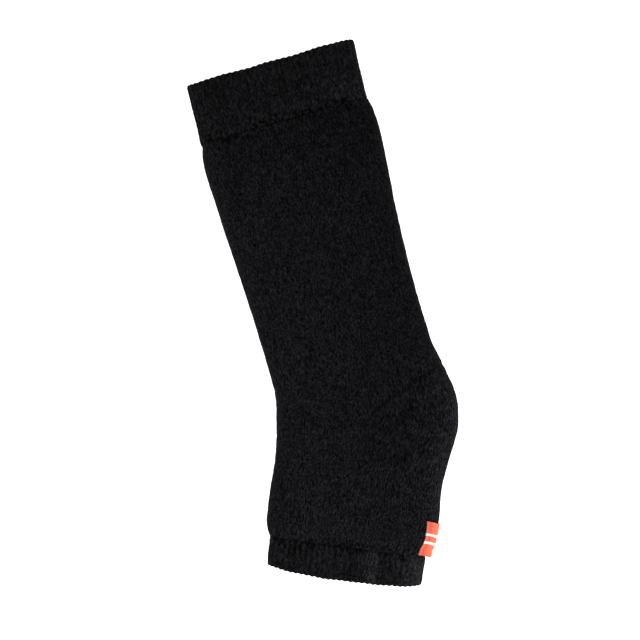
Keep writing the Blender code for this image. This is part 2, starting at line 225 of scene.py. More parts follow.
# Painted highlight along the right fold, strongest at the elbow: (share of its length, gain)
PAINTED_HIGHLIGHT_ROWS = np.array([
    (0.52, 0.00),
    (0.64, 0.75),
    (0.73, 1.20),
    (0.82, 0.80),
    (0.90, 0.40),
    (1.00, 0.35),
])
PAINTED_HIGHLIGHT_REACH = 0.090                    # of a turn, from the fold
PINCH = (0.29, 0.09)                  # where the seams are drawn in most: (turn from the right fold, reach)

# Gore lines of the elbow pocket, from beyond the fold to the apex: (along, across)
GORE_APEX = (1.47, 0.06)
UPPER_GORE = [(1.12, 1.30), (1.20, 0.46), GORE_APEX]
LOWER_GORE = [(1.64, 1.30), (1.66, 0.52), GORE_APEX]
LOWER_GORE_SHARE = 0.4                # how deep it is beside the upper one
# Small wrinkles near the elbow: from and to, each (distance down the sleeve, across) in mm
WRINKLES = (
    ((190.0, 32.0), (200.0, 19.0)),
    ((193.5, -10.0), (192.0, -28.0)),
    ((181.0, 40.0), (183.5, 31.0)),
)
CREASE_ALONG = 1.43
CREASE_LEFT = 0.70
STRAIGHT_ROWS = 0.55                  # share of the upper rows that run straight across
UPPER_COURSES = 136                   # knitted rows above the apex, and below it
LOWER_COURSES = 56
CROSSING_STEPS = 8                    # of the search for a gore line's crossing
LINING_SHADE = 0.9
SHARP_ANGLE = math.radians(55.0)

ANGLES = np.linspace(0.0, 2.0 * math.pi, 1601)


def smooth_steps(rows, column, at):
    """A table's column between its rows, without kinks or overshoot."""
    places = rows[:, 0]
    values = rows[:, column]
    at = np.clip(at, places[0], places[-1])
    slopes = np.diff(values) / np.diff(places)
    product = slopes[:-1] * slopes[1:]
    total = np.where(product > 0.0, slopes[:-1] + slopes[1:], 1.0)
    tangents = np.zeros(len(places))
    tangents[1:-1] = np.where(product > 0.0, 2.0 * product / total, 0.0)
    index = np.clip(np.searchsorted(places, at, side="right") - 1, 0, len(places) - 2)
    span = places[index + 1] - places[index]
    t = (at - places[index]) / span
    rise = values[index + 1] - values[index]
    start = span * tangents[index]
    end = span * tangents[index + 1]
    square = 3.0 * rise - 2.0 * start - end
    cube = start + end - 2.0 * rise
    return values[index] + t * start + t * t * square + t ** 3 * cube


def station(along):
    """Distance down the middle line at a place on the tube's 0 to 3 scale."""
    return np.interp(along, (0.0, 1.0, 2.0, 3.0), (UPPER_SEAM, UPPER_RUN, BEND_END, LOWER_SEAM))


def place_of(distance):
    """The other way round, from a distance to the 0 to 3 scale."""
    return np.interp(distance, (UPPER_SEAM, UPPER_RUN, BEND_END, LOWER_SEAM), (0.0, 1.0, 2.0, 3.0))


def plan_point(distance, across):
    """Where points of the flat sleeve lie on its own plan, seen from above."""
    bent = np.clip(distance - UPPER_RUN, 0.0, BEND_LENGTH)
    tilt = UPPER_TILT - bent / BEND_RADIUS
    straight = np.minimum(distance, UPPER_RUN)
    rest = np.maximum(distance - BEND_END, 0.0)
    x = straight * math.sin(UPPER_TILT) + BEND_RADIUS * (np.cos(tilt) - math.cos(UPPER_TILT))
    y = -straight * math.cos(UPPER_TILT) + BEND_RADIUS * (np.sin(tilt) - math.sin(UPPER_TILT))
    turn = tilt + UPPER_ROW_TURN + (LOWER_ROW_TURN - UPPER_ROW_TURN) * distance / SLEEVE_LENGTH
    x = x + rest * np.sin(tilt) + across * np.cos(turn)
    y = y - rest * np.cos(tilt) + across * np.sin(turn)
    return x, y


def fold_round(distance, reach):
    inside = np.clip(1.0 - distance / reach, 0.0, 1.0)
    return np.sqrt(1.0 - inside * inside)


def section(left, right, height, dish, crease=0.0):
    """The flattened section (across, up), from the right fold over the top and back underneath."""
    half = (left + right) / 2
    share = np.cos(ANGLES)
    across = (right - left) / 2 + half * share
    from_fold = half * (1.0 - np.abs(share))
    fold_height = height * FOLD_LEVEL
    under = fold_height * (1.0 - fold_round(from_fold, UNDER_REACH))
    inward = np.minimum(np.abs(share) / np.where(share < 0.0, LEFT_RIDGE, RIGHT_RIDGE), 1.0)
    fade = np.where(share < 0.0, 1.0 - (share / CREASE_LEFT) ** 2, 1.0 - share / CREASE_LEFT)
    sink = dish * 0.5 * (1.0 + np.cos(math.pi * inward)) + crease * np.clip(fade, 0.0, 1.0)
    over = fold_height + (height - fold_height) * fold_round(from_fold, FOLD_REACH) - sink
    return across, np.where(np.sin(ANGLES) < 0.0, under, over)


def tube_section(distance):
    along = place_of(distance)
    half = TUBE_WIDTH / 2
    cuff_half = (UPPER_CUFF_WIDTH if along < 1.5 else LOWER_CUFF_WIDTH) / 2
    row = {name: smooth_steps(TUBE_ROWS, k, along) for k, name in enumerate(TUBE_COLUMN_NAMES)}

    def sunk(full, at_cuff):
        return full + row["seam"] * (at_cuff - full)

    def drawn_in(full):
        return full + row["seam"] ** 2 * (cuff_half - full)

    bulge = ELBOW_BULGE * smooth_steps(BULGE_ROWS, 1, along)
    off_crease = (distance - station(CREASE_ALONG)) / CREASE_WIDTH
    return section(
        drawn_in(half * row["left"]),
        drawn_in(half * row["right"]) + bulge,
        sunk(TUBE_HEIGHT * row["height"], CUFF_HEIGHT),
        sunk(TUBE_DISH * row["dish"], CUFF_DISH),
        CREASE_DEPTH * math.exp(-off_crease ** 2),
    )


def even_points(across, up, turns):
    """A section at even shares of its length: (across, up) and the outward direction there."""
    length = np.concatenate(([0.0], np.cumsum(np.hypot(np.diff(across), np.diff(up)))))
    at = turns * length[-1]
    reach = length[-1] / 800.0
    before = (at - reach) % length[-1]
    after = (at + reach) % length[-1]
    run_across = np.interp(after, length, across) - np.interp(before, length, across)
    run_up = np.interp(after, length, up) - np.interp(before, length, up)
    size = np.hypot(run_across, run_up)
    return np.interp(at, length, across), np.interp(at, length, up), run_up / size, -run_across / size


class Skin:
    """The outer face of a tube of cloth, known at every distance and column."""

    def __init__(self, first, last, section_at, columns, step=0.8 * MM):
        self.first = first
        self.columns = columns
        distances = np.linspace(first, last, int(round((last - first) / step)) + 1)
        self.step = distances[1] - distances[0]
        turns = np.arange(columns) / columns
        rows = [even_points(*section_at(distance), turns) for distance in distances]
        self.tables = [np.array(column) for column in zip(*rows)]
        rows_of = np.repeat(distances[:, None], columns, axis=1)
        x, y = plan_point(rows_of, self.tables[0])
        self.lowest_x = x.min()
        self.highest_y = y.max()

    def at(self, distance, columns):
        """(across, up, out across, out up) at distances and columns of one shape."""
        last = len(self.tables[0]) - 1
        place = np.clip((distance - self.first) / self.step, 0.0, last - 1e-6)
        low = place.astype(int)
        part = place - low
        wrapped = columns % self.columns
        return [t[low, wrapped] * (1.0 - part) + t[low + 1, wrapped] * part for t in self.tables]


tube_skin = Skin(UPPER_SEAM, LOWER_SEAM, tube_section, BODY_COLUMNS)
tube_low, tube_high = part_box("sleeve_tube")
ORIGIN_X = tube_low.x - tube_skin.lowest_x - FULLER_LEFT
ORIGIN_Y = tube_high.y - tube_skin.highest_y + FULLER_TOP


def surface(skin, distance, columns, offset, bow=0.0):
    """Points at an offset out from a skin, in the frame, and never below the floor.

    A bow moves a row's two ends along the middle line.
    """
    across, up, out_across, out_up = skin.at(distance, columns)
    across = across + offset * out_across
    up = np.maximum(up + offset * out_up, 0.0)
    reach = np.abs(across).max(axis=1, keepdims=True)
    x, y = plan_point(distance + bow * (across / reach) ** 2, across)
    return np.stack((x + ORIGIN_X, y + ORIGIN_Y, up), axis=-1)


def cloud(seed, cells_along, cells_round):
    """Smooth noise over a tube, -1 to 1, as a function of (share of its length, turn)."""
    values = np.random.default_rng(seed).uniform(-1.0, 1.0, (cells_along + 2, cells_round))

    def read(share, turn):
        a = np.clip(share, 0.0, 1.0) * cells_along
        b = (turn % 1.0) * cells_round
        i = np.minimum(a.astype(int), cells_along)
        j = b.astype(int) % cells_round
        k = (j + 1) % cells_round
        s = smooth_rise(a - i)
        t = smooth_rise(b - np.floor(b))
        low = values[i, j] * (1.0 - t) + values[i, k] * t
        high = values[i + 1, j] * (1.0 - t) + values[i + 1, k] * t
        return low * (1.0 - s) + high * s

    return read


def smooth_rise(share):
    """0 to 1, level at both ends."""
    share = np.clip(share, 0.0, 1.0)
    return share * share * (3.0 - 2.0 * share)


def hump(distance, width):
    """1 at 0, fading over a width on each side."""
    return np.exp(-(distance / width) ** 2)


def gore_line(points):
    """A gore line as distances down the sleeve and across it, from beyond the fold to the apex."""
    t = np.linspace(0.0, 1.0, 60)
    weights = np.stack(((1 - t) ** 2, 2 * t * (1 - t), t * t), axis=1)
    curve = weights @ np.array(points)
    return station(curve[:, 0]), curve[:, 1] * TUBE_WIDTH / 2


def distance_to_line(x, y, line_x, line_y):
    """Shortest distance on the plan from points to a line given by closely set points."""
    nearest = np.full(x.shape, 1.0)
    for px, py in zip(line_x, line_y):
        nearest = np.minimum(nearest, (x - px) ** 2 + (y - py) ** 2)
    return np.sqrt(nearest)


class Pocket:
    """Which wales the elbow pocket takes, and where its two gore lines cross them."""

    def __init__(self, skin):
        self.apex = station(GORE_APEX[0])
        self.upper = gore_line(UPPER_GORE)
        self.lower = gore_line(LOWER_GORE)
        columns = np.arange(skin.columns)
        across = skin.at(np.full(skin.columns, self.apex), columns)[0]
        inside = across > GORE_APEX[1] * TUBE_WIDTH / 2
        half = skin.columns // 2
        last_on_top = columns[:half][inside[:half]].max() + 1
        first_under = columns[half:][inside[half:]].min() - 1 - skin.columns
        first_under -= first_under % INNER_STEP
        last_on_top += last_on_top % INNER_STEP
        self.columns = np.arange(first_under, last_on_top + 1)
        self.upper_shift = self.crossing(skin, self.upper)
        self.lower_shift = self.crossing(skin, self.lower)

    def crossing(self, skin, line):
        """How far each of the pocket's wales meets a gore line from the apex's row."""
        distances, across = line
        place = np.full(len(self.columns), self.apex)
        for _ in range(CROSSING_STEPS):
            reached = skin.at(place, self.columns)[0]
            place = np.interp(reached, across[::-1], distances[::-1])
        place[[0, -1]] = self.apex
        return place - self.apex

    def all_round(self, shift):
        """The shift for every column of the tube, 0 beyond the pocket."""
        out = np.zeros(BODY_COLUMNS)
        out[self.columns % BODY_COLUMNS] = shift
        return out

    def line_distances(self, skin, distance, columns):
        """Distances on the plan from points of a skin to the two gore lines and the nearest wrinkle."""
        x, y = plan_point(distance, skin.at(distance, columns)[0])
        upper = distance_to_line(x, y, *plan_point(*self.upper))
        lower = distance_to_line(x, y, *plan_point(*self.lower))
        steps = np.linspace(0.0, 1.0, 25)[:, None]
        lines = [np.array(a) * (1.0 - steps) + np.array(b) * steps for a, b in WRINKLES]
        points = np.concatenate(lines) * MM
        wrinkle = distance_to_line(x, y, *plan_point(points[:, 0], points[:, 1]))
        on_top = skin.at(distance, columns)[3] > 0.0
        return upper / MM, lower / MM, np.where(on_top, wrinkle / MM, 99.0)


pocket = Pocket(tube_skin)


class Cloth:
    """Collects grids of points into one mesh, with a knit UV and a shade for every point."""

    def __init__(self, name):
        self.name = name
        self.points = []
        self.shades = []
        self.quads = []
        self.quad_uvs = []
        self.count = 0

    def add_points(self, points, shade):
        """Rows by columns of points. Returns their numbers in the mesh."""
        rows, columns = points.shape[:2]
        numbers = self.count + np.arange(rows * columns).reshape(rows, columns)
        self.points.append(points.reshape(-1, 3))
        self.shades.append(np.broadcast_to(shade, (rows, columns)).reshape(-1))
        self.count += rows * columns
        return numbers

    def add_quads(self, corners, uvs, flip):
        """corners and uvs are lists of four arrays, one for each corner, in order."""
        order = [3, 2, 1, 0] if flip else [0, 1, 2, 3]
        self.quads.append(np.stack([corners[k].reshape(-1) for k in order], axis=1))
        self.quad_uvs.append(np.stack([uvs[k].reshape(-1, 2) for k in order], axis=1))

    def grid(self, points, u, v, shade=1.0, wrap=True, flip=False):
        """A grid of quads. u and v have one more column than the points if it wraps."""
        numbers = self.add_points(points, shade)
        joined = np.concatenate((numbers, numbers[:, :1]), axis=1) if wrap else numbers
        uv = np.stack((np.broadcast_to(u, joined.shape), np.broadcast_to(v, joined.shape)), axis=-1)
        self.add_quads(*self.four(joined, uv), flip)
        return numbers

    def four(self, numbers, uv):
        def corners(table):
            return [table[:-1, :-1], table[:-1, 1:], table[1:, 1:], table[1:, :-1]]

        return corners(numbers), corners(uv)

    def join(self, fine, coarse, u, v, flip=False, wrap=True):
        """Closes the gap between a row of points and one with half as many.

        Each pair of fine steps gets one triangle and one quad. u is for the
        fine row, with one more value if it wraps, and v is one number.
        """
        if wrap:
            fine = np.concatenate((fine, fine[:1]))
            coarse = np.concatenate((coarse, coarse[:1]))
        uv = np.stack((u, np.full(len(u), v)), axis=-1)
        first, middle, last = fine[:-2:2], fine[1:-1:2], fine[2::2]
        near, far = coarse[:-1], coarse[1:]
        uv_first, uv_middle, uv_last = uv[:-2:2], uv[1:-1:2], uv[2::2]
        self.add_quads([first, middle, near, near], [uv_first, uv_middle, uv_first, uv_first], flip)
        self.add_quads([middle, last, far, near], [uv_middle, uv_last, uv_last, uv_first], flip)

    def build(self, material):
        points = np.concatenate(self.points)
        quads = np.concatenate(self.quads)
        uvs = np.concatenate(self.quad_uvs)
        mesh = bpy.data.meshes.new(self.name)
        mesh.vertices.add(len(points))
        mesh.vertices.foreach_set("co", points.astype(np.float32).ravel())
        real = quads != np.roll(quads, 1, axis=1)
        loops = quads[real]
        sizes = real.sum(axis=1)
        mesh.loops.add(len(loops))
        mesh.loops.foreach_set("vertex_index", loops.astype(np.int32))
        mesh.polygons.add(len(quads))
        mesh.polygons.foreach_set("loop_start", (np.cumsum(sizes) - sizes).astype(np.int32))
        mesh.update(calc_edges=True)
        layer = mesh.uv_layers.new(name="knit")
        layer.data.foreach_set("uv", uvs[real].astype(np.float32).ravel())
        shade = mesh.attributes.new("shade", "FLOAT", "POINT")
        shade.data.foreach_set("value", np.concatenate(self.shades).astype(np.float32))
        form = bmesh.new()
        form.from_mesh(mesh)
        bmesh.ops.remove_doubles(form, verts=form.verts, dist=1e-6)
        form.to_mesh(mesh)
        form.free()
        mesh.shade_smooth()
        mesh.set_sharp_from_angle(angle=SHARP_ANGLE)
        mesh.materials.append(material)
        obj = bpy.data.objects.new(self.name, mesh)
        bpy.context.scene.collection.objects.link(obj)
        return obj


# Unevenness of the plush, from broad to fine, with its heights in mm
BROAD = cloud(11, 9, 8)
MIDDLE = cloud(12, 34, 30)
FINE = cloud(13, 100, 90)
GRAIN = cloud(14, 150, 240)
BROAD_HEIGHT = 0.20
MIDDLE_HEIGHT = 0.10
FINE_HEIGHT = 0.10
GRAIN_HEIGHT = 0.08

# The wales show more on the forearm, painted lighter on their crests and darker between them as painted
# light and shade, more so at the right fold. Heights in mm, shades as shares.
WALE_HEIGHT = 0.03
WALE_FOREARM_HEIGHT = 0.07
WALE_SHADE = 0.10
WALE_RIGHT_SHADE = 0.16
WALE_RIGHT_REACH = 0.12               # of a turn, from the right fold
FOREARM_FROM = 0.6                    # share of the tube's length
FOREARM_FADE = 0.3

# Gore lines and wrinkles, in mm
GORE_DEPTH = 0.42
GORE_WIDTH = 1.0
# painted shade in the gore lines and wrinkles
GORE_SHADE = 0.6
WRINKLE_SHARE = 0.6                   # of a gore line's depth
WRINKLE_WIDTH = 0.9
WELT_PLACE = 2.4                      # the low welt beside the upper gore line
WELT_WIDTH = 1.3
WELT_HEIGHT = 0.14

# The plush beside its two seams, in mm
PINCH_DEPTH = 0.25
# PINCH_SHADE is painted shade where the seams are drawn in, DOT_SHADE painted shade in the seam's small
# holes
PINCH_SHADE = 0.4
PINCH_PLACE = 0.8
PINCH_WIDTH = 1.8
DOT_DEPTH = 0.3                       # of the small holes in a seam
DOT_SHADE = 1.3
DOT_GLOW = 0.35                       # the plush between them is lighter
PLUSH_DOT_WIDTH = 2.2
PLUSH_SHADES = (0.2, 2.2)


def plush_places(distance, columns):
    """Share of the tube's length, turn from the right fold, and how far that is from the fold."""
    turn = columns / BODY_COLUMNS
    share = (distance - UPPER_SEAM) / (LOWER_SEAM - UPPER_SEAM)
    return share, turn, turn - np.round(turn)


def painted_plush_light(share, turn, from_fold):
    """How light the plush is painted by where it is on the tube: painted light and shade for how the light
    falls, and the painted highlight along the right fold.
    """
    left = smooth_steps(PLUSH_PAINTED_LIGHT_ROWS, 1, share)
    right = smooth_steps(PLUSH_PAINTED_LIGHT_ROWS, 2, share)
    tone = left + (right - left) * (0.5 + 0.5 * np.cos(2.0 * math.pi * turn))
    return tone * (1.0 + smooth_steps(PAINTED_HIGHLIGHT_ROWS, 1, share) * hump(from_fold, PAINTED_HIGHLIGHT_REACH))


def drawn_lines(distance, columns, middle, fine):
    """How deep the gore lines and wrinkles are, 0 to about 1, and the distance to the upper one."""
    upper, lower, wrinkle = pocket.line_distances(tube_skin, distance, columns)
    wobble = 0.5 * fine + 0.4 * middle
    drawn = np.clip(0.85 + 0.5 * middle + 0.5 * fine, 0.3, 1.2)
    line = hump(upper + wobble, GORE_WIDTH) + LOWER_GORE_SHARE * hump(lower + wobble, GORE_WIDTH)
    return drawn * (line + WRINKLE_SHARE * hump(wrinkle + wobble, WRINKLE_WIDTH)), upper


def plush_relief(distance, columns):
    """Height of the plush over its skin, and its shade, at distances and columns."""
    share, turn, from_fold = plush_places(distance, columns)
    middle = MIDDLE(share, turn)
    fine = FINE(share, turn)
    grain = GRAIN(share, turn)
    wale = np.cos(2.0 * math.pi * columns / WALE_COLUMNS)
    forearm = smooth_rise((share - FOREARM_FROM) / FOREARM_FADE)
    line, upper = drawn_lines(distance, columns, middle, fine)
    to_lower = (LOWER_SEAM - distance) / MM
    seam = np.minimum((distance - UPPER_SEAM) / MM, to_lower)
    pinch = hump(turn - PINCH[0], PINCH[1]) * hump(to_lower - PINCH_PLACE, PINCH_WIDTH)
    dots = np.clip(-0.1 - 1.6 * grain - 0.5 * middle, 0.0, 1.0)

    height = BROAD_HEIGHT * BROAD(share, turn) + MIDDLE_HEIGHT * middle
    height = height + FINE_HEIGHT * fine + GRAIN_HEIGHT * grain
    height = height + (WALE_HEIGHT + WALE_FOREARM_HEIGHT * forearm) * wale
    height = height - PINCH_DEPTH * pinch - GORE_DEPTH * line
    height = height + WELT_HEIGHT * hump(upper - WELT_PLACE, WELT_WIDTH)
    height = height - DOT_DEPTH * dots * hump(seam - 0.8, PLUSH_DOT_WIDTH)

    right = hump(from_fold, WALE_RIGHT_REACH)
    # painted shade in the gore lines, wrinkles and where the seam is drawn in
    shade = 1.0 - GORE_SHADE * line - PINCH_SHADE * pinch
    # painted shade in the seam's holes, lighter between them
    shade = shade + (DOT_GLOW - DOT_SHADE * dots) * hump(seam - 1.2, PLUSH_DOT_WIDTH)
    shade = shade + (WALE_SHADE + WALE_RIGHT_SHADE * right) * forearm * wale
    # painted light and shade by place on the tube
    shade = shade * painted_plush_light(share, turn, from_fold)
    return height * MM, np.clip(shade, *PLUSH_SHADES)


def make_face_pair(cloth, distance, columns, course):
    """The outer and inner faces of a stretch of plush, and the UV column values of the outer one."""
    wraps = len(columns) == BODY_COLUMNS
    grid = np.broadcast_to(columns, distance.shape)
    u = (np.append(columns, columns[-1] + 1) if wraps else columns) / WALE_COLUMNS
    height, shade = plush_relief(distance, grid)
    outer = cloth.grid(surface(tube_skin, distance, grid, height), u, course, shade, wrap=wraps)
    rows = slice(None, None, INNER_STEP)
    inside = surface(tube_skin, distance[rows, rows], grid[rows, rows], -TUBE_WALL)
    inner_course = course[rows] if course.shape[1] == 1 else course[rows, rows]
    inner = cloth.grid(inside, u[rows], inner_course, LINING_SHADE, wrap=wraps, flip=True)
    return outer, inner, u


def row_shares(count):
    return np.linspace(0.0, 1.0, count + 1)[:, None]


def make_tube(material):
    """The plush tube round the pocket: a stretch above the gore lines and one below them."""
    cloth = Cloth("sleeve_tube_knit")
    columns = np.arange(BODY_COLUMNS)
    in_pocket = pocket.columns
    half_in_pocket = pocket.columns[::INNER_STEP] // INNER_STEP

    t = row_shares(UPPER_ROWS)
    bent = smooth_rise((t - STRAIGHT_ROWS) / (1.0 - STRAIGHT_ROWS))
    distance = UPPER_SEAM + t * (pocket.apex - UPPER_SEAM)
    distance = distance + bent * pocket.all_round(pocket.upper_shift)
    outer, inner, u = make_face_pair(cloth, distance, columns, t * UPPER_COURSES)
    cloth.join(outer[0], inner[0], u, 0.0, flip=True)
    cloth.join(outer[-1][in_pocket], inner[-1][half_in_pocket], in_pocket / WALE_COLUMNS, UPPER_COURSES,
               wrap=False)

    t = row_shares(LOWER_ROWS)
    distance = pocket.apex + t * (LOWER_SEAM - pocket.apex)
    distance = distance + smooth_rise(1.0 - t) * pocket.all_round(pocket.lower_shift)
    course = UPPER_COURSES + t * LOWER_COURSES
    outer, inner, u = make_face_pair(cloth, distance, columns, course)
    cloth.join(outer[0][in_pocket], inner[0][half_in_pocket], in_pocket / WALE_COLUMNS, UPPER_COURSES,
               flip=True, wrap=False)
    cloth.join(outer[-1], inner[-1], u, UPPER_COURSES + LOWER_COURSES)
    return cloth.build(material)


def make_pocket(material):
    """The elbow pocket: short rows between the two gore lines."""
    cloth = Cloth("elbow_pocket_knit")
    t = row_shares(POCKET_ROWS)
    distance = pocket.apex + pocket.upper_shift + t * (pocket.lower_shift - pocket.upper_shift)
    across = tube_skin.at(distance, np.broadcast_to(pocket.columns, distance.shape))[0]
    opened = (pocket.lower_shift - pocket.upper_shift) * (1.0 + across[:1] / BEND_RADIUS)
    course = UPPER_COURSES + t * opened / BODY_COURSE
    outer, inner, u = make_face_pair(cloth, distance, pocket.columns, course)
    cloth.join(outer[0], inner[0], u, UPPER_COURSES, flip=True, wrap=False)
    cloth.join(outer[-1], inner[-1], u, UPPER_COURSES, wrap=False)
    return cloth.build(material)


CuffForm = namedtuple("CuffForm", [
    "name",
    "rows",
    "length",
    "width",
    "start",           # of the turned edge, down the middle line
    "heading",         # 1 where the cuff runs down the sleeve from its edge, -1 where it runs up
    "seed",            # the next ones, two apart, are its own as well
    "edge_bow",        # how far the edge's corners draw back
    "edge_out",        # how far the edge has crept out past its place
    "rough_from",      # share of the length beyond which the ribs are low and the stitches loose
    "groove",          # depth of the seam in mm
    "light_ribs",
    "tone",            # how light it is painted as a whole: painted shade on the upper cuff
])
UPPER_CUFF = CuffForm(
    name="upper_cuff_knit",
    rows=UPPER_CUFF_ROWS,
    length=UPPER_CUFF_LENGTH,
    width=UPPER_CUFF_WIDTH,
    start=0.0,
    heading=1.0,
    seed=21,
    edge_bow=0.0,
    edge_out=0.6 * MM,
    rough_from=0.5,
    groove=0.16,
    light_ribs=UPPER_PAINTED_RIB_LIGHT,
    tone=UPPER_CUFF_PAINTED_SHADE,
)
LOWER_CUFF = CuffForm(
    name="lower_cuff_knit",
    rows=LOWER_CUFF_ROWS,
    length=LOWER_CUFF_LENGTH,
    width=LOWER_CUFF_WIDTH,
    start=SLEEVE_LENGTH,
    heading=-1.0,
    seed=22,
    edge_bow=LOWER_EDGE_BOW,
    edge_out=0.0,
    rough_from=1.2,
    groove=0.40,
    light_ribs=LOWER_PAINTED_RIB_LIGHT,
    tone=1.0,
)

# Knitted relief of the cuffs, in mm, and shades as shares
ROUGH_FADE = 0.08                     # share of the length
ROUGH_CELL = 1.3                      # of the loose stitches, down the cuff
LINING_RIBS = 0.15                    # how high the ribs are inside, as a share of their full depth
STITCH_HEIGHT = 0.06
ROUGH_HEIGHT = 0.13
SOFT_HEIGHT = 0.16
GATHERED = (0.42, 0.055)              # ribs gathered at the seam: (turn from the right fold, reach)
GATHERED_PLACE = 4.5
GATHERED_WIDTH = 4.0
GATHERED_DEPTH = 0.5
# painted shade in the recesses of the gathered ribs and in the seam's groove
GATHERED_SHADE = 2.2
GROOVE_SHADE = 1.3
CUFF_DOT_PLACE = 1.5
CUFF_DOT_WIDTH = 2.4
# painted shade in the loose stitches' holes and in the ribs' recesses
ROUGH_SHADE = 0.35
RECESS_SHADE = 0.32
CUFF_SHADES = (0.15, 2.2)


class Cuff:
    """A ribbed cuff with a turned edge."""

    def __init__(self, form):
        self.form = form
        end = form.start + form.heading * (form.length + CUFF_TUCK)
        self.skin = Skin(min(form.start, end), max(form.start, end), self.section_at, CUFF_COLUMNS)
        self.columns = np.arange(CUFF_COLUMNS)
        self.turns = self.columns / CUFF_COLUMNS
        self.wave = np.cos(2.0 * math.pi * self.columns * RIB_COUNT / CUFF_COLUMNS)
        self.recess = 0.5 * (1.0 - self.wave)
        edge = cloud(form.seed, 1, 26)
        self.wander = EDGE_WANDER * edge(np.zeros(CUFF_COLUMNS), self.turns)
        self.stitches = cloud(form.seed + 2, int(form.length / (ROUGH_CELL * MM)), 3 * RIB_COUNT)
        self.soft = cloud(form.seed + 4, 5, 24)
        self.rib_heights = cloud(form.seed + 6, 5, 2 * RIB_COUNT)

    def section_at(self, distance):
        form = self.form
        along = form.heading * (distance - form.start) / form.length
        left = smooth_steps(form.rows, 1, along) * form.width / 2 - RIB_DEPTH / 2
        right = smooth_steps(form.rows, 2, along) * form.width / 2 - RIB_DEPTH / 2
        across, up = section(left, right, CUFF_HEIGHT - RIB_DEPTH, CUFF_DISH)
        return across, up + RIB_DEPTH / 2

    def placed(self, depth, offset):
        """Points at depths in from the edge and offsets from the skin, and their shade."""
        form = self.form
        depth, offset, turns = np.broadcast_arrays(depth, offset, self.turns)
        along = depth / form.length
        seam = (form.length - depth) / MM
        rough = smooth_rise((along - form.rough_from) / ROUGH_FADE)
        tall = (1.0 - 0.5 * rough) * (0.75 + 0.5 * self.rib_heights(0.3 * along, turns))
        stitches = self.stitches(along, turns)
        dots = np.clip(-0.15 - 1.7 * stitches, 0.0, 1.0)
        drawn = form.groove * (0.45 + 0.75 * hump(turns - PINCH[0], PINCH[1]))
        gathered = hump(turns - GATHERED[0], GATHERED[1]) * hump(seam - GATHERED_PLACE, GATHERED_WIDTH)
        gathered = form.groove * gathered * self.recess ** 2
        dotted = hump(seam - CUFF_DOT_PLACE, CUFF_DOT_WIDTH)

        profile = self.wave * (1.35 - 0.35 * self.wave ** 2)
        outside = offset > -CUFF_WALL / 2
        ribbing = np.where(outside, RIB_RELIEF * tall, LINING_RIBS * RIB_DEPTH) * profile
        lumps = (STITCH_HEIGHT + ROUGH_HEIGHT * rough) * stitches + SOFT_HEIGHT * self.soft(along, turns)
        lumps = lumps - GATHERED_DEPTH * gathered - drawn * hump(seam, 1.0) - DOT_DEPTH * dots * dotted
        pull = EDGE_SCALLOP * self.recess + self.wander - form.edge_out
        pull = pull * smooth_rise(1.0 - depth / EDGE_REACH)
        distance = form.start + form.heading * (depth + pull)
        bow = form.heading * form.edge_bow * (1.0 - np.minimum(along, 1.0)) ** 2
        columns = np.broadcast_to(self.columns, depth.shape)
        points = surface(self.skin, distance, columns, offset + ribbing + lumps * MM, bow)

        # painted shade in the gathered ribs, the seam's groove, the dots' holes and the ribs' recesses
        dark = GATHERED_SHADE * gathered + GROOVE_SHADE * drawn * hump(seam - 0.6, 1.2)
        dark = dark + ROUGH_SHADE * rough * dots + (DOT_SHADE * dots - 0.3) * dotted
        # painted highlight on the ribs that catch the light, and painted shade on one
        light = sum(gain * hump(turns - middle, reach) for middle, reach, gain in form.light_ribs)
        shade = form.tone * (1.06 + 0.12 * rough - RECESS_SHADE * tall * self.recess - dark + light)
        return points, np.clip(shade, *CUFF_SHADES)

    def outer_path(self, steps):
        """(depth, offset) from the tuck under the tube, down the outside and round the turned edge."""
        radius = CUFF_WALL / 2
        tuck = np.array([[self.form.length + CUFF_TUCK, -CUFF_TUCK]])
        outer = np.stack((np.linspace(self.form.length, radius, steps + 1), np.zeros(steps + 1)), axis=1)
        turn = np.linspace(0.0, math.pi, RIM_STEPS + 1)[1:]
        rim = np.stack((radius * (1.0 - np.sin(turn)), radius * (np.cos(turn) - 1.0)), axis=1)
        return np.concatenate((tuck, outer, rim))

    def build(self, material):
        cloth = Cloth(self.form.name)
        flip = self.form.heading > 0.0
        radius = CUFF_WALL / 2
        steps = int((self.form.length - radius) / CUFF_ROW)
        path = self.outer_path(steps)
        u = np.append(self.columns, CUFF_COLUMNS) * (STITCHES_PER_RIB * RIB_COUNT / CUFF_COLUMNS)
        points, shade = self.placed(path[:, :1], path[:, 1:])
        run = np.concatenate(([0.0], np.cumsum(np.hypot(*np.diff(path, axis=0).T))))
        course = run[:, None] / CUFF_COURSE
        outside = cloth.grid(points, u, course, shade, flip=flip)
        back = np.linspace(radius, self.form.length + CUFF_TUCK, steps // 4 + 1)[:, None]
        points, shade = self.placed(back, np.full(back.shape, -CUFF_WALL))
        inner_points = points[1:, ::INNER_STEP]
        inner_shade = shade[1:, ::INNER_STEP] * LINING_SHADE
        inner_course = course[-1] + back[1:] / CUFF_COURSE
        inside = cloth.grid(inner_points, u[::INNER_STEP], inner_course, inner_shade, flip=flip)
        cloth.join(outside[-1], inside[0], u, course[-1, 0], flip=flip)
        cloth.join(outside[0], inside[-1], u, 0.0, flip=not flip)
        return cloth.build(material)


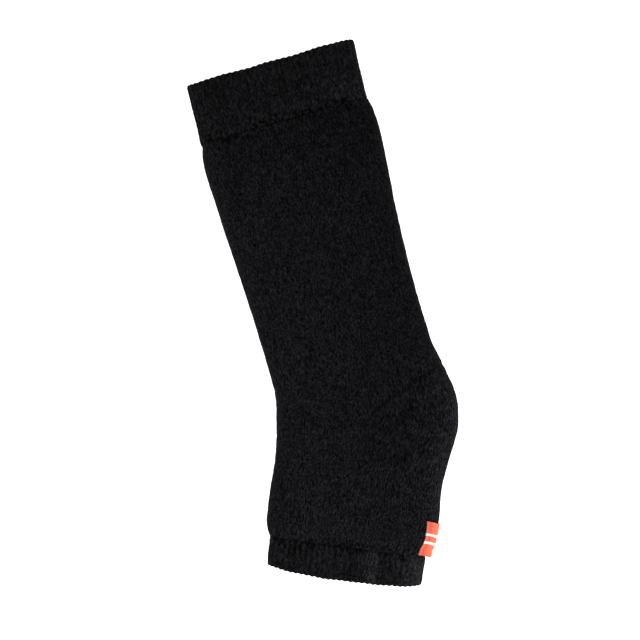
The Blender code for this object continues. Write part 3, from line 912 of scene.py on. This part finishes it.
def label_path(distance, bow, clearance):
    """The folded label's way round the sleeve's edge: points a clearance off the held section."""
    across, up = tube_section(station(min(place_of(distance), LABEL_HOLD)))
    turns = (ANGLES + math.pi) % (2.0 * math.pi) - math.pi
    order = np.argsort(-turns[:-1])
    across, up, turns = across[:-1][order], up[:-1][order], turns[:-1][order]
    run_across, run_up = np.gradient(across), np.gradient(up)
    size = np.hypot(run_across, run_up)
    across = across - clearance * run_up / size
    up = np.maximum(up + clearance * run_across / size, clearance)
    half = (across.max() - across.min()) / 2
    start = math.acos(1.0 - (LABEL_OVERLAP - bow) / half)
    end = -math.acos(1.0 - LABEL_OVERLAP / half)
    kept = (turns <= start) & (turns >= end)
    across, up = across[kept], up[kept]
    length = np.concatenate(([0.0], np.cumsum(np.hypot(np.diff(across), np.diff(up)))))
    at = np.linspace(0.0, length[-1], LABEL_COLUMNS + 1)
    return np.interp(at, length, across), np.interp(at, length, up), at


def make_label(material):
    """Woven tape folded over the right edge just above the lower cuff."""
    cloth = Cloth("side_label_tape")
    last = LOWER_SEAM + LABEL_PAST_SEAM
    hang = smooth_rise(np.linspace(0.0, 2.0, LABEL_COLUMNS + 1)) - 1.0
    hang = LABEL_SLOPE * np.concatenate((hang, hang[::-1]))
    shares = np.linspace(0.0, 1.0, LABEL_ROWS + 1)
    rows = []
    us = []
    for share in shares:
        distance = last - LABEL_LENGTH * (1.0 - share)
        bow = LABEL_BOW * 4.0 * share * (1.0 - share)
        above = label_path(distance, bow, LABEL_LIFT + LABEL_THICKNESS)
        below = label_path(distance, bow, LABEL_LIFT)
        across = np.concatenate((above[0], below[0][::-1]))
        up = np.concatenate((above[1], below[1][::-1]))
        x, y = plan_point(distance + hang, across)
        rows.append(np.stack((x + ORIGIN_X, y + ORIGIN_Y, up), axis=-1))
        us.append(np.concatenate((above[2], above[2][::-1], [0.0])) / MM)
    v = shares[:, None] * LABEL_LENGTH / MM
    numbers = cloth.grid(np.array(rows), np.array(us), v)
    count = LABEL_COLUMNS + 1
    for row, flip in ((0, True), (-1, False)):
        front = numbers[row, :count]
        back = numbers[row, :count - 1:-1]
        uv = np.stack((us[row][:count], np.full(count, v[row, 0])), axis=-1)
        corners = [front[:-1], front[1:], back[1:], back[:-1]]
        cloth.add_quads(corners, [uv[:-1], uv[1:], uv[1:], uv[:-1]], flip)
    return cloth.build(material)


class Graph:
    """Short ways to add nodes to a material."""

    def __init__(self, name):
        self.material = bpy.data.materials.new(name)
        self.material.use_nodes = True
        self.tree = self.material.node_tree
        self.shader = self.tree.nodes["Principled BSDF"]

    def put(self, value, socket):
        if isinstance(value, bpy.types.NodeSocket):
            self.tree.links.new(value, socket)
        else:
            socket.default_value = value

    def maths(self, operation, first, second=0.0, third=None):
        node = self.tree.nodes.new("ShaderNodeMath")
        node.operation = operation
        self.put(first, node.inputs[0])
        self.put(second, node.inputs[1])
        if third is not None:
            self.put(third, node.inputs[2])
        return node.outputs[0]

    def uv(self):
        source = self.tree.nodes.new("ShaderNodeUVMap")
        source.uv_map = "knit"
        parts = self.tree.nodes.new("ShaderNodeSeparateXYZ")
        self.tree.links.new(source.outputs["UV"], parts.inputs[0])
        return parts.outputs[0], parts.outputs[1]

    def vector(self, x, y):
        node = self.tree.nodes.new("ShaderNodeCombineXYZ")
        self.put(x, node.inputs[0])
        self.put(y, node.inputs[1])
        return node.outputs[0]

    def value_of(self, attribute):
        node = self.tree.nodes.new("ShaderNodeAttribute")
        node.attribute_name = attribute
        return node.outputs["Fac"]

    def noise(self, scale, detail=2.0, roughness=0.5):
        place = self.tree.nodes.new("ShaderNodeTexCoord")
        node = self.tree.nodes.new("ShaderNodeTexNoise")
        node.inputs["Scale"].default_value = scale
        node.inputs["Detail"].default_value = detail
        node.inputs["Roughness"].default_value = roughness
        self.tree.links.new(place.outputs["Object"], node.inputs["Vector"])
        return node.outputs["Fac"]

    def cells(self, vector, uneven):
        """Distance from the nearest cell's middle, and that cell's own number from 0 to 1."""
        node = self.tree.nodes.new("ShaderNodeTexVoronoi")
        node.voronoi_dimensions = "2D"
        node.inputs["Scale"].default_value = 1.0
        node.inputs["Randomness"].default_value = uneven
        self.tree.links.new(vector, node.inputs["Vector"])
        parts = self.tree.nodes.new("ShaderNodeSeparateColor")
        self.tree.links.new(node.outputs["Color"], parts.inputs[0])
        return node.outputs["Distance"], parts.outputs[0]

    def between(self, value, low, high, smooth=True):
        """0 at low, 1 at high."""
        node = self.tree.nodes.new("ShaderNodeMapRange")
        node.interpolation_type = "SMOOTHSTEP" if smooth else "LINEAR"
        self.put(value, node.inputs["Value"])
        node.inputs["From Min"].default_value = low
        node.inputs["From Max"].default_value = high
        return node.outputs["Result"]

    def mix(self, factor, first, second):
        node = self.tree.nodes.new("ShaderNodeMix")
        node.data_type = "RGBA"
        self.put(factor, node.inputs["Factor"])
        self.put(first, node.inputs["A"])
        self.put(second, node.inputs["B"])
        return node.outputs["Result"]

    def bump(self, height, depth):
        """A bump of heights from 0 to 1 that stand for a depth in metres."""
        node = self.tree.nodes.new("ShaderNodeBump")
        node.inputs["Strength"].default_value = 1.0
        node.inputs["Distance"].default_value = depth
        self.tree.links.new(height, node.inputs["Height"])
        self.tree.links.new(node.outputs["Normal"], self.shader.inputs["Normal"])


RIB_COLOUR = (0.0047, 0.0047, 0.0052)
RIB_BUMP = 0.32 * MM
RIB_FUZZ = 0.25
PLUSH_COLOUR = (0.0040, 0.0040, 0.0045)
PLUSH_BUMP = 0.36 * MM
PLUSH_FUZZ = 0.6
YARN_HIGHLIGHT = 5.0                  # how much lighter a lit fibre is than the knit's colour
YARN_SHADOW = (0.0002, 0.0002, 0.0003)
YARN_SHEEN_TINT = (0.85, 0.87, 1.0, 1.0)
STITCH_HIGH = 0.65                    # cells down the cloth, for each course
SPECK_WIDE = 4.2                      # specks across a stitch, and down it
SPECK_HIGH = 0.95
SWAY_SCALE = 400.0
PATCH_SCALE = 220.0


def knit_material(name, colour, depth, fuzz):
    """Black knit: uneven stitches two to a column of the UV, looser with more fuzz (0 to 1)."""
    g = Graph(name)
    u, v = g.uv()
    side = g.maths("ABSOLUTE", g.maths("SUBTRACT", g.maths("FRACT", u), 0.5))
    sway = g.maths("SUBTRACT", g.noise(SWAY_SCALE, detail=1.0), 0.5)
    leg_u = g.maths("MULTIPLY_ADD", sway, 2.5 * fuzz, g.maths("MULTIPLY", u, 2.0))
    leg_v = g.maths("MULTIPLY_ADD", side, fuzz - 1.0, g.maths("MULTIPLY", v, STITCH_HIGH))
    stitch_gap, stitch_tone = g.cells(g.vector(leg_u, leg_v), 0.4 + 0.5 * fuzz)
    speck = g.vector(g.maths("MULTIPLY", u, SPECK_WIDE), g.maths("MULTIPLY", v, SPECK_HIGH))
    speck_gap, speck_tone = g.cells(speck, 1.0)
    patches = g.noise(PATCH_SCALE, detail=3.0, roughness=0.6)
    stitch = g.maths("SUBTRACT", 1.0, g.maths("MULTIPLY", stitch_gap, 1.3))
    tuft = g.maths("SUBTRACT", 1.0, g.maths("MULTIPLY", speck_gap, 1.3))
    height = g.maths("MULTIPLY_ADD", stitch, 0.6, g.maths("MULTIPLY", tuft, 0.3))
    height = g.maths("MULTIPLY_ADD", stitch_tone, 0.25, height)
    g.bump(height, depth)
    tone = g.maths("MULTIPLY_ADD", stitch_tone, 0.36, 0.49)
    tone = g.maths("MULTIPLY", tone, g.maths("MULTIPLY_ADD", speck_tone, 1.35, 0.05))
    # painted shade in the gaps between stitches, lighter at their middles
    tone = g.maths("MULTIPLY", tone, g.maths("MULTIPLY_ADD", stitch, 0.75, 0.33))
    tone = g.maths("MULTIPLY", tone, g.between(patches, -0.5, 1.1, smooth=False))
    # the shade attribute carries the painted light and shade laid on the mesh
    tone = g.maths("MULTIPLY", tone, g.value_of("shade"))
    light = tuple(YARN_HIGHLIGHT * c for c in colour)
    g.put(g.mix(tone, (*YARN_SHADOW, 1.0), (*light, 1.0)), g.shader.inputs["Base Color"])
    g.shader.inputs["Roughness"].default_value = 0.8
    g.shader.inputs["Specular IOR Level"].default_value = 0.01
    g.shader.inputs["Sheen Weight"].default_value = 0.004
    g.shader.inputs["Sheen Roughness"].default_value = 0.5
    g.shader.inputs["Sheen Tint"].default_value = YARN_SHEEN_TINT
    return g.material


CORAL_DEEP = (0.49, 0.080, 0.030, 1.0)
CORAL_LIGHT = (0.55, 0.110, 0.042, 1.0)
CORAL_BORDER = (0.50, 0.040, 0.030, 1.0)
CORAL_SHADOW = (0.15, 0.015, 0.015, 1.0)
PALE_THREAD = (0.62, 0.58, 0.53, 1.0)
WEFT_PITCH = 0.32                     # mm
WARP_PITCH = 0.45                     # mm
BORDER_PLACE = 2.2                    # mm in from the label's edges
WEAVE_BUMP = 0.06 * MM


def tape_material():
    """Coral woven tape with a deeper border and two plain pale stripes."""
    g = Graph("woven_tape")
    u, v = g.uv()
    from_border = g.maths("MINIMUM", u, g.maths("SUBTRACT", LABEL_FLAT_WIDTH / MM, u))
    cloth_noise = g.noise(500.0, detail=2.0)
    weft = g.maths("SINE", g.maths("MULTIPLY", v, 2.0 * math.pi / WEFT_PITCH))
    warp = g.maths("SINE", g.maths("MULTIPLY", u, 2.0 * math.pi / WARP_PITCH))
    weave = g.maths("MULTIPLY_ADD", g.maths("MULTIPLY", weft, warp), 0.3, g.maths("MULTIPLY", weft, 0.5))
    off_border = g.maths("ABSOLUTE", g.maths("SUBTRACT", from_border, BORDER_PLACE))
    border = g.maths("SUBTRACT", 1.0, g.between(off_border, 0.3, 1.6))
    colour = g.mix(cloth_noise, CORAL_DEEP, CORAL_LIGHT)
    colour = g.mix(g.maths("MULTIPLY", border, 0.9), colour, CORAL_BORDER)
    for middle in STRIPES:
        off = g.maths("ABSOLUTE", g.maths("SUBTRACT", v, middle))
        edge = STRIPE_WIDTH / 2
        colour = g.mix(g.between(off, edge - STRIPE_BLUR, edge + STRIPE_BLUR), PALE_THREAD, colour)
    shaded = g.mix(0.75, CORAL_SHADOW, colour)
    g.put(g.mix(g.between(weave, -0.9, 0.6), shaded, colour), g.shader.inputs["Base Color"])
    g.bump(g.maths("MULTIPLY_ADD", weave, 0.5, 0.5), WEAVE_BUMP)
    g.shader.inputs["Roughness"].default_value = 0.6
    g.shader.inputs["Specular IOR Level"].default_value = 0.2
    g.shader.inputs["Sheen Weight"].default_value = 0.05
    return g.material


def floor_material():
    g = Graph("pale_floor")
    speck = g.noise(60.0)
    g.put(g.mix(speck, FLOOR_DARK, FLOOR_LIGHT), g.shader.inputs["Base Color"])
    g.shader.inputs["Roughness"].default_value = 0.9
    g.shader.inputs["Specular IOR Level"].default_value = 0.1
    g.shader.inputs["Emission Color"].default_value = WHITE
    g.shader.inputs["Emission Strength"].default_value = FLOOR_GLOW
    return g.material


def add_area_light(name, place, aim, size, power):
    data = bpy.data.lights.new(name, "AREA")
    data.shape = "RECTANGLE"
    data.size, data.size_y = size
    data.energy = power
    light = bpy.data.objects.new(name, data)
    light.location = place
    light.rotation_euler = (Vector(aim) - Vector(place)).to_track_quat("-Z", "Y").to_euler()
    bpy.context.scene.collection.objects.link(light)


def make_stage():
    """Pale floor, soft studio light and the camera straight above, as in the photograph."""
    bpy.ops.mesh.primitive_plane_add(size=FLOOR_SIZE, location=(0.0, 0.0, -FLOOR_DROP))
    floor = bpy.context.object
    floor.name = "floor"
    floor.data.materials.append(floor_material())

    world = bpy.data.worlds.new("studio")
    world.use_nodes = True
    background = world.node_tree.nodes["Background"]
    background.inputs["Color"].default_value = WHITE
    background.inputs["Strength"].default_value = WORLD_STRENGTH
    bpy.context.scene.world = world
    bpy.context.scene.view_settings.view_transform = "Standard"
    for light in LIGHTS:
        add_area_light(*light)

    lens = bpy.data.cameras.new("camera")
    lens.lens = LENS
    lens.sensor_width = SENSOR_WIDTH
    camera = bpy.data.objects.new("camera", lens)
    camera.location = (*VIEW_CENTRE, VIEW_LEVEL + VIEW_WIDTH / SENSOR_WIDTH * LENS)
    bpy.context.scene.collection.objects.link(camera)
    bpy.context.scene.camera = camera


def main():
    rib = knit_material("rib_knit", RIB_COLOUR, RIB_BUMP, RIB_FUZZ)
    plush = knit_material("plush_knit", PLUSH_COLOUR, PLUSH_BUMP, PLUSH_FUZZ)
    tape = tape_material()
    tube = make_tube(plush)
    elbow = make_pocket(plush)
    upper = Cuff(UPPER_CUFF).build(rib)
    lower = Cuff(LOWER_CUFF).build(rib)
    label = make_label(tape)
    dressed = (
        (upper, "upper_cuff", "rib_knit"),
        (tube, "sleeve_tube", "plush_knit"),
        (elbow, "elbow_pocket", "plush_knit"),
        (lower, "lower_cuff", "rib_knit"),
        (label, "side_label", "woven_tape"),
    )
    for piece, node, slot in dressed:
        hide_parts(node)
        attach(piece, "root")
    make_stage()


main()
